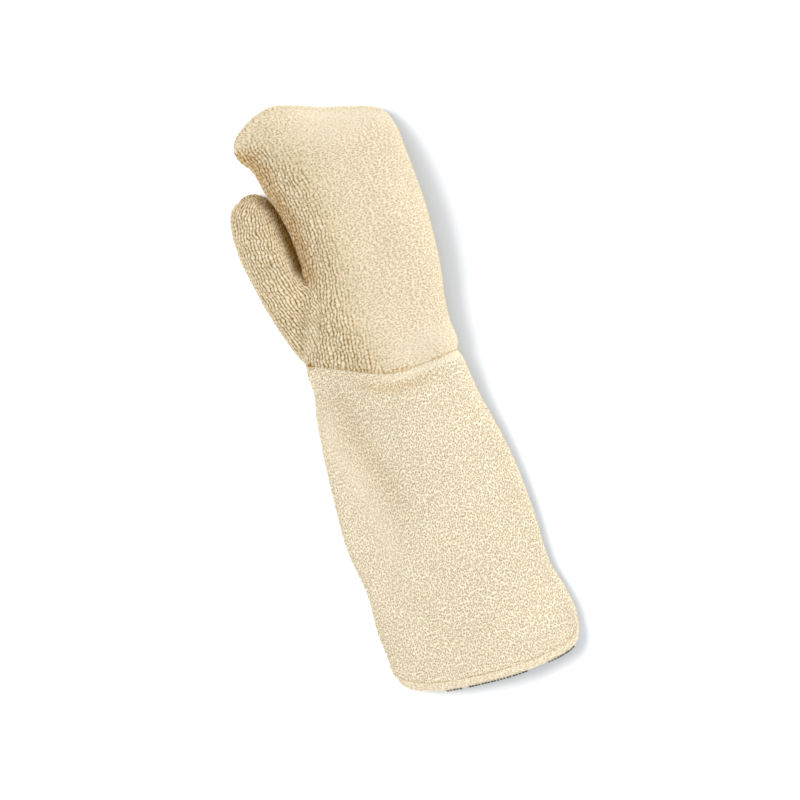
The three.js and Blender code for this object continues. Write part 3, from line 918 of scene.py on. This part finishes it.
def flank(points, full, width):
    """1 along the hand's edge from the thumb's crotch to the beak, falling to 0 from full to
    width inward of it."""
    x, y = points[..., 0], points[..., 1]
    inward = x - x.min(axis=1, keepdims=True)
    return fade(inward, full, width) * ease(y, 60, 100) * fade(y, 232, 246)


# Stitch holes beside the wrist seam: their distance apart and from the seam, and the shade of the
# faintest. The corner is where the hand, the thumb and the cuff meet; a dark spot of shade is
# painted there.
DOT_PITCH = 4.6
DOT_PLACE = 2.0
FAINTEST_DOT = 0.35
CORNER = (-70.1, 12.3)
CORNER_HALF_WIDTH = 3.0


def seam_dots(points, s, from_seam):
    """Shade of the stitch holes, on the seam's thumb half."""
    x = points[..., 0]
    from_hole = np.abs((s / DOT_PITCH) % 1 - 0.5) * DOT_PITCH
    depth = mix(FAINTEST_DOT, 1, hashed(np.floor(s / DOT_PITCH), 0 * s, 4))
    near = bell(from_seam - DOT_PLACE - 0.8 * drift(s / 5, 0 * s, 6), 1.4)
    on_thumb_half = ease(x, -74, -68) * mix(0.4, 1, ease(x, -52, -38)) * fade(x, 12, 30)
    return bell(from_hole, 1.3) * depth * near * on_thumb_half


# A dark spot of painted shade at the corner where the hand, the thumb and the cuff meet
def painted_corner_shade(points):
    from_corner = np.hypot(points[..., 0] - CORNER[0], points[..., 1] - CORNER[1])
    return bell(from_corner, CORNER_HALF_WIDTH)


# Thumb

THUMB_TOP = 128
THUMB_BOTTOM = 80
THUMB_STEP = 0.85
THUMB_ROW = (3.5, 4.4)
THUMB_PILE = 2.2
THUMB_MARKS = (-0.2, 1.3)
THUMB_TIP_REACH = 3.0
THUMB_TIP_SQUARENESS = 2
THUMB_TIP_SEAM_DEPTH = 10.0
THUMB_CLEARANCE = 0.15

# Points round each half of the hand, where only its wall beside the thumb is taken, and a height
# above it
WALL_POINTS = 80
WALL_TOP = 60

# Where the thumb is joined to the hand, their upper layers blend within this much of height
BLEND = 14.0

# Slope of the hand's wall under its widest line, for the blend
WALL_SLOPE = 3.0

# How much of its height the thumb loses on the way down to the slot, and how far its tip leans
# towards the hand
SLOT_SLOPE = 0.25
TIP_LEAN = 2.5


def joined(along):
    """Where along the thumb it is joined to the hand: 1 below the crotch, 0 above it."""
    return ease(along, 0.0, 0.1) * fade(along, 0.36, 0.47)


def hand_side():
    """The hand's wall on the thumb's side: rows of its points from the floor to the top."""
    along = stations(HAND_LENGTH, 2.0)
    points = hand_form(along, 0, WALL_POINTS, WALL_POINTS)
    left_half = points[:, WALL_POINTS * 3 // 2:], points[:, :WALL_POINTS // 2 + 1]
    return np.concatenate(left_half, axis=1)


def thumb_form(along, side, top_count, bottom_count):
    """The thumb's rings. Its upper layer sinks further towards the slot beside the hand."""
    y = THUMB_ROOT_Y + along * THUMB_LENGTH
    sections = grown(thumb_sections(along), side, side)
    points = rings(sections, lambda x: y[:, None] + 0 * x, top_count, bottom_count)
    across = np.arange(points.shape[1]) / top_count
    points[..., 2] *= 1 - SLOT_SLOPE * bell(across - 0.8, 0.15) * ease(along, 0.42, 0.54)[:, None]
    points[..., 0] += TIP_LEAN * bell(across - 1, 0.35) * ease(along, 0.7, 0.9)[:, None]
    return points


class HandWall:
    """The hand's wall on the thumb's side, in rows of points with a rising height."""

    def __init__(self):
        wall = hand_side()
        self.heights = np.arange(0, WALL_TOP, 1.0)
        low = np.maximum.accumulate(wall[..., 2], axis=1) + 1e-6 * np.arange(wall.shape[1])
        rows = range(len(wall))
        self.xs = np.array([np.interp(self.heights, low[i], wall[i, :, 0]) for i in rows])
        self.ys = np.array([np.interp(self.heights, low[i], wall[i, :, 1]) for i in rows])

    def edge(self, y):
        """The wall's x at each of its heights."""
        columns = range(len(self.heights))
        return np.array([np.interp(y, self.ys[:, h], self.xs[:, h]) for h in columns])

    def top(self, edge, x):
        """The hand's height at x, which falls away steeply outside the hand."""
        widest = int(np.argmin(edge))
        inside = np.interp(x, edge[widest:], self.heights[widest:])
        return inside - WALL_SLOPE * np.maximum(edge[widest] - x, 0)


def beside_hand(points, clearance, top_count, blend):
    """Moves points that lie in the hand to its wall, and blends the upper layer into the hand's.
    Returns them, how far each is free of the wall, and how far it is free of the hand below it,
    both from 0 to 1."""
    wall = HandWall()
    moved = points.copy()
    off_wall = np.ones(points.shape[:2])
    off_hand = np.ones(points.shape[:2])
    number = np.arange(points.shape[1])
    upper = fade(number, top_count - 10, top_count)
    for row, beside, above in zip(moved, off_wall, off_hand):
        edge = wall.edge(row[0, 1])
        along = np.array((row[0, 1] - THUMB_ROOT_Y) / THUMB_LENGTH)
        x, z = row[:, 0].copy(), row[:, 2].copy()
        if blend:
            hand_top = wall.top(edge, x)
            near = np.clip(1 - np.abs(z - hand_top) / blend, 0, 1)
            soft = np.maximum(z, hand_top) + near ** 2 * blend / 4
            not_under = fade(hand_top - z, blend, blend + 8)
            row[:, 2] = mix(z, soft, not_under * upper * joined(along))
            over = np.where(x > edge.min() - 2, row[:, 2] - hand_top, 9)
            above *= np.where(upper > 0, mix(1, ease(over, 0, 2.5), joined(along)), 1)
        limit = np.interp(row[:, 2], wall.heights, edge) - clearance
        beside *= ease(limit - x, 0, 0.8)
        row[:, 0] = np.minimum(x, limit)
    return moved, off_wall, off_hand


def make_thumb(material):
    along = stations(THUMB_LENGTH - THUMB_TIP_REACH, THUMB_STEP)
    points = thumb_form(along, 0, THUMB_TOP, THUMB_BOTTOM)
    across = np.arange(points.shape[1]) / THUMB_TOP
    end_crowns = np.full(len(END_ANGLES), 0.4 * THUMB_THICKNESS)
    crown = np.append(thumb_sections(along)["heights"][0], end_crowns)
    points[..., 1] -= THUMB_TIP_REACH * along[:, None]
    points = rounded_end(points, THUMB_TOP, THUMB_BOTTOM, THUMB_TIP_REACH, THUMB_TIP_SQUARENESS)
    points, off_wall, off_hand = beside_hand(points, THUMB_CLEARANCE, THUMB_TOP, BLEND)
    places = (points[..., 1] - THUMB_ROOT_Y) / THUMB_LENGTH
    # Painted shade deep in the slot beside the hand, and at the corner
    inner_side = ease(across, 0.55, 0.72) * (across < 1.3)
    below_crown = ease(crown[:, None] - points[..., 2], *THUMB_SLOT_DEPTH)
    painted_slot_shade = below_crown * inner_side * ease(places, *SLOT_START)
    shade = deepest(painted_slot_shade, painted_corner_shade(points))
    points, off_wall, off_hand, shade = (
        np.roll(grid, -THUMB_TOP, axis=1) for grid in (points, off_wall, off_hand, shade))
    cloth = on_cloth(points, THUMB_BOTTOM)
    s, t = cloth[:, :-1, 0], cloth[:, :-1, 1]
    relief = wales(s, t, *THUMB_ROW, seed=7)
    height = mix(PALM_PILE * relief, THUMB_PILE * (relief - MID_RELIEF), off_hand)
    lift = off_wall * height * before_end(points, 6)
    shell = Shell()
    grid = shell.add_grid(
        points + outward(points) * lift[..., None], cloth, OUTER_MAP,
        pile=mix(*THUMB_MARKS, relief) * (1 - 0.7 * painted_corner_shade(points)), worn=WORN_ROWS,
        shade=deepest(shade * (1.35 - 0.7 * relief), DITCH_SHADE * (1 - relief)),
    )
    along = mix(0.06, 1 - THUMB_TIP_SEAM_DEPTH / THUMB_LENGTH, stations(THUMB_LENGTH, INNER_STEP))
    inner = thumb_form(along, -TERRY_WALL, INNER_TOP, INNER_BOTTOM)
    inner = beside_hand(inner, THUMB_CLEARANCE + TERRY_WALL, INNER_TOP, 0)[0]
    inside = shell.add_grid(inner, on_cloth(inner, 0), INNER_MAP)
    close_end(shell, grid[0], THUMB_TOP, THUMB_TOP, START_MAP)
    close_end(shell, grid[-1], THUMB_TOP, THUMB_TOP, END_MAP)
    close_end(shell, inside[0], 0, INNER_TOP, INNER_END_MAP)
    close_end(shell, inside[-1], 0, INNER_TOP, INNER_END_MAP)
    return shell.make("thumb_cloth", material)


# Cuff and hem

CUFF_TOP = 184
CUFF_BOTTOM = 92
CUFF_STEP = 1.1
HEM_TOP = 260
HEM_BOTTOM = 180
HEM_START = 1 - HEM_WIDTH / CUFF_LENGTH


def cuff_form(along, side, under, shift, top_count, bottom_count):
    def lengthways(x):
        y = mix(wrist_line(x) - JOINT_GAP / 2, mouth_line(x), along[:, None])
        return y - np.reshape(shift, (-1, 1))

    return rings(grown(cuff_sections(along), side, under), lengthways, top_count, bottom_count)


# A shallow fold runs down the cuff from the thumb's side of the wrist: its places along and
# across, its half width, its depth, where it ends and the height that its cloth lies above. Shade
# is painted into the fold, and the cloth beside it, to the left and further down, is painted paler
# as painted light, with fewer of the small pits.
FOLD_ALONG = (-165.0, -135.0, -10.0)
FOLD_ACROSS = (-27.0, -33.0, -60.0)
FOLD_HALF_WIDTH = 13.0
FOLD_DEPTH = 1.8
FOLD_END = -185.0
FOLD_ABOVE = 8.0
PAINTED_LIGHT_BESIDE_FOLD = 24.0
PAINTED_LIGHT_END = -300.0


def in_fold(points, beside, end):
    """The fold's mark, or that of the cloth at a distance beside it, as far down as end."""
    x, y = points[..., 0], points[..., 1]
    middle = np.interp(y, FOLD_ALONG, FOLD_ACROSS) - beside
    upper = points[..., 2] > FOLD_ABOVE
    return bell(x - middle, FOLD_HALF_WIDTH) * fade(y, -30, -2) * ease(y, end, -110) * upper


def make_cuff(material):
    along = HEM_START * (1 - stations(CUFF_LENGTH, CUFF_STEP))
    points = cuff_form(along, 0, 0, 0, CUFF_TOP, CUFF_BOTTOM)
    turn = CUFF_TOP + CUFF_BOTTOM // 2
    points = np.roll(points, -turn, axis=1)
    cloth = on_cloth(points, CUFF_BOTTOM // 2 + CUFF_TOP // 2)
    s, t = cloth[:, :-1, 0], cloth[:, :-1, 1]
    x = points[..., 0]
    relief = loops(s, t, *PLAIN_LOOP, disorder=0.9, seed=11)
    from_hem = np.arange(len(points))[:, None] * CUFF_STEP
    from_seam = from_hem[::-1]
    ridge = bell(from_seam - 4.8, 4.3) * ease(x, -25, 20)
    pressed = np.exp(-from_seam / PRESSED_BY_SEAM) + np.exp(-from_hem / PRESSED_BY_HEM)
    fold = in_fold(points, 0, FOLD_END)
    height = (1 - 0.8 * ridge) * (relief - MID_RELIEF)
    lift = mix(height, PRESSED, np.clip(pressed, 0, 1)) - FOLD_DEPTH * fold
    # Painted shade below the ridge, at the corner, along the hem and in the fold; the ridge is
    # smoothed and also painted pale, toward the painted highlight of the loop tops
    below_ridge = bell(from_seam - 16, 7) * ease(x, -45, -15) * fade(x, 25, 55)
    shell = Shell()
    grid = shell.add_grid(
        points + outward(points) * lift[..., None], cloth, OUTER_MAP,
        pile=mix(mix(*PLAIN_MARKS, relief), 1, 0.8 * ridge),
        worn=0.6 * deepest(ridge, in_fold(points, PAINTED_LIGHT_BESIDE_FOLD, PAINTED_LIGHT_END)),
        shade=deepest(
            0.25 * below_ridge, 0.7 * painted_corner_shade(points), 0.35 * bell(from_hem, 1.0), 0.12 * fold),
    )
    along = HEM_START * (1 - stations(CUFF_LENGTH, INNER_STEP))
    inner = cuff_form(along, -TERRY_WALL, -TERRY_WALL, 0, INNER_TOP, INNER_BOTTOM)
    inside = shell.add_grid(inner, on_cloth(inner, 0), INNER_MAP)
    shell.join(np.roll(grid[0], turn), inside[0], True, START_MAP)
    shell.join(np.roll(grid[-1], turn), inside[-1], True, END_MAP)
    return shell.make("cuff_cloth", material)


def hem_profile():
    """The hem's section as rows from the cuff's outer wall round the lip to its inner wall:
    along, side, under and shift, as cuff_form takes them."""
    lip = HEM_WALL / 2
    lip_start = 1 - lip / CUFF_LENGTH
    rows = []
    for back in np.arange(HEM_WIDTH, lip, -0.75):
        proud = HEM_PROUD * ease(HEM_WIDTH - back, 0, HEM_SHOULDER)
        rows.append((1 - back / CUFF_LENGTH, proud, 0, JOINT_GAP * (back == HEM_WIDTH)))
    for angle in np.linspace(np.pi, 0, 13):
        inset = lip * (1 + np.cos(angle))
        rows.append((lip_start, HEM_PROUD - inset, -inset, lip * np.sin(angle)))
    for back in np.arange(lip + 1.5, HEM_WIDTH - HEM_SHOULDER, 1.5):
        rows.append((1 - back / CUFF_LENGTH, HEM_PROUD - HEM_WALL, -HEM_WALL, 0))
    rows.append((HEM_START, -TERRY_WALL, -TERRY_WALL, JOINT_GAP))
    return np.array(rows[::-1]).T


def make_hem(material):
    along, side, under, shift = hem_profile()
    points = cuff_form(along, side, under, shift, HEM_TOP, HEM_BOTTOM)
    cloth = on_cloth(points, 0)
    run = np.linalg.norm(np.diff(points[:, HEM_TOP // 2], axis=0), axis=1)
    cloth[..., 1] = np.concatenate([[0], np.cumsum(run)])[:, None]
    s, t = cloth[:, :-1, 0], cloth[:, :-1, 1]
    relief = loops(s, t, wale=3.0, course=2.4, disorder=0.9, seed=17)
    outer = ease(np.arange(len(points)), len(points) * 0.4, len(points) * 0.6)[:, None]
    lift = 0.5 * (relief - 0.7) * outer
    raised = points + outward(points) * lift[..., None]
    shell = Shell()
    shell.add_grid(raised, cloth, (0, 1), pile=0.4 + 0.5 * relief, looped=True)
    return shell.make("mouth_hem_band", material)


# Overlock thread on the mouth's upper lip: length and thickness of a stitch, how far apart they
# lie, between which places across the mouth, and where they lie round the lip, in degrees from
# its inner wall
STITCH_LENGTH = 2.7
STITCH_RADIUS = 0.8
STITCH_PITCH = 3.2
STITCH_SIDES = 8
STITCH_SPAN = (-50.0, 92.0)
STITCH_TURN = math.radians(125)
STITCH_GAP = 0.25

# The thread is seen over lengths of about this, where their drift is over a limit
SEEN_LENGTH = 14
SEEN_FROM = -0.3


def lip_line():
    """Points along the mouth's upper lip, for the middles of the stitches."""
    lip = HEM_WALL / 2
    out = lip + STITCH_RADIUS + STITCH_GAP
    inset = lip + out * math.cos(STITCH_TURN)
    points = cuff_form(
        np.array([1 - lip / CUFF_LENGTH]), np.array([HEM_PROUD - inset]), np.array([-inset]),
        out * math.sin(STITCH_TURN), HEM_TOP, HEM_BOTTOM)
    return points[0, :HEM_TOP + 1]


def make_thread(material):
    line = lip_line()
    run = np.concatenate([[0], np.cumsum(np.linalg.norm(np.diff(line, axis=0), axis=1))])
    first, last = (np.interp(x, line[:, 0], run) for x in STITCH_SPAN)
    starts = np.arange(first, last, STITCH_PITCH)
    seen = starts[drift(starts / SEEN_LENGTH, 0 * starts, 5) > SEEN_FROM]
    form = bmesh.new()
    for number, start in enumerate(seen):
        length = STITCH_LENGTH * mix(0.8, 1.2, hashed(number, 0, 3))
        ends = [
            Vector([float(np.interp(place, run, line[:, axis])) for axis in range(3)])
            for place in (start, start + length)
        ]
        ends[0].z += 0.5
        heading = (ends[1] - ends[0]).to_track_quat("Z", "Y").to_matrix().to_4x4()
        middle = (ends[0] + ends[1]) / 2
        made = bmesh.ops.create_uvsphere(
            form, u_segments=STITCH_SIDES, v_segments=STITCH_SIDES, radius=1)
        sizes = Vector((STITCH_RADIUS, STITCH_RADIUS, (ends[1] - ends[0]).length / 2))
        for vertex in made["verts"]:
            local = Vector(a * b for a, b in zip(vertex.co, sizes))
            vertex.co = (heading @ local + middle) * MM + Vector(WRIST_MIDDLE)
    mesh = bpy.data.meshes.new("overlock_thread")
    form.to_mesh(mesh)
    form.free()
    mesh.polygons.foreach_set("use_smooth", [True] * len(mesh.polygons))
    mesh.materials.append(material)
    return placed("overlock_thread", mesh)


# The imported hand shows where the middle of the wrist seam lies
hand_low, hand_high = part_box("hand")
plain_hand = MM * hand_form(
    stations(HAND_LENGTH, INNER_STEP), 0, HAND_TOP, HAND_BOTTOM, gap=SEAM_GAP)
WRIST_MIDDLE = np.array([
    (hand_low.x + hand_high.x - plain_hand[..., 0].min() - plain_hand[..., 0].max()) / 2,
    (hand_low.y + hand_high.y - plain_hand[..., 1].min() - plain_hand[..., 1].max()) / 2,
    0,
])

# Each: painted shade of the ground, the loops' own colour, painted highlight on their tops
HAND_COLOURS = (0.34, 0.21, 0.05), (0.89, 0.77, 0.555), (0.98, 0.87, 0.67)
CUFF_COLOURS = (0.46, 0.33, 0.14), (0.93, 0.81, 0.60), (1.0, 0.92, 0.73)
hand_terry = terry_material(
    "hand_terry", *HAND_COLOURS, cell=(3.2, 1.8), disorder=0.9, small_share=0.55)
cuff_terry = terry_material(
    "cuff_terry", *CUFF_COLOURS, cell=(1.7, 2.4), disorder=1.0, small_share=0.9)
hem_terry = terry_material(
    "hem_terry", *CUFF_COLOURS, cell=(2.4, 2.2), disorder=0.8, small_share=0.6)

hand = make_hand(hand_terry)
thumb = make_thumb(hand_terry)
cuff = make_cuff(cuff_terry)
hem = make_hem(hem_terry)
thread = make_thread(plain_material("dark_thread", (0.035, 0.04, 0.025), 0.8))
for piece, node in ((hand, "hand"), (thumb, "thumb"), (cuff, "cuff"), (hem, "mouth_hem")):
    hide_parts(node)

# Floor, light and camera

FLOOR_HALF = 3.0
WORLD_STRENGTH = 0.93
floor_mesh = bpy.data.meshes.new("floor")
corners = [(-1, -1), (1, -1), (1, 1), (-1, 1)]
floor_mesh.from_pydata([(a * FLOOR_HALF, b * FLOOR_HALF, 0) for a, b in corners], [], [(0, 1, 2, 3)])
floor_mesh.materials.append(plain_material("floor", (0.72, 0.72, 0.72), 0.9))
floor = bpy.data.objects.new("floor", floor_mesh)
floor.location.z = -0.0005
bpy.context.scene.collection.objects.link(floor)

world = bpy.data.worlds.new("studio")
bpy.context.scene.world = world
world.use_nodes = True
world.node_tree.nodes["Background"].inputs["Color"].default_value = (1, 1, 1, 1)
world.node_tree.nodes["Background"].inputs["Strength"].default_value = WORLD_STRENGTH


def area_light(name, place, size, power, lit, colour=(1, 1, 1), shadow=True):
    """A square light that faces the mitten and shines on the lit objects only."""
    data = bpy.data.lights.new(name, "AREA")
    data.size = size
    data.energy = power
    data.color = colour
    data.use_shadow = shadow
    light = bpy.data.objects.new(name, data)
    light.location = place
    light.rotation_euler = (-Vector(place)).to_track_quat("-Z", "Y").to_euler()
    bpy.context.scene.collection.objects.link(light)
    group = bpy.data.collections.new(name)
    for item in lit:
        group.objects.link(item)
    light.light_linking.receiver_collection = group


# As in a cut-out catalogue picture, the mitten's light comes from its right, and the floor is
# bright with a soft shadow to the right.
mitten = [hand, thumb, cuff, hem, thread]
area_light("key", place=(1.6, -0.1, 1.3), size=0.8, power=10, lit=mitten)
area_light("floor_key", place=(-1.25, 0.6, 1.5), size=1.1, power=60, lit=[floor])
area_light(
    "floor_fill", place=(0, 0, 2.4), size=2.0, power=11, lit=[floor],
    colour=(0.35, 0.65, 1.0), shadow=False)

# The camera looks straight down, turned so that the mitten leans as in the photograph
CAMERA_PLACE = (0.0031, -0.0117, 2.6)
CAMERA_TURN = math.radians(-18)
VIEW_WIDTH = 0.8
camera_data = bpy.data.cameras.new("camera")
camera_data.sensor_width = 36
camera_data.lens = camera_data.sensor_width * CAMERA_PLACE[2] / VIEW_WIDTH
camera_data.clip_end = 20
camera = bpy.data.objects.new("camera", camera_data)
camera.location = CAMERA_PLACE
camera.rotation_euler = (0, 0, CAMERA_TURN)
bpy.context.scene.collection.objects.link(camera)
bpy.context.scene.camera = camera
bpy.context.scene.view_settings.view_transform = "Standard"
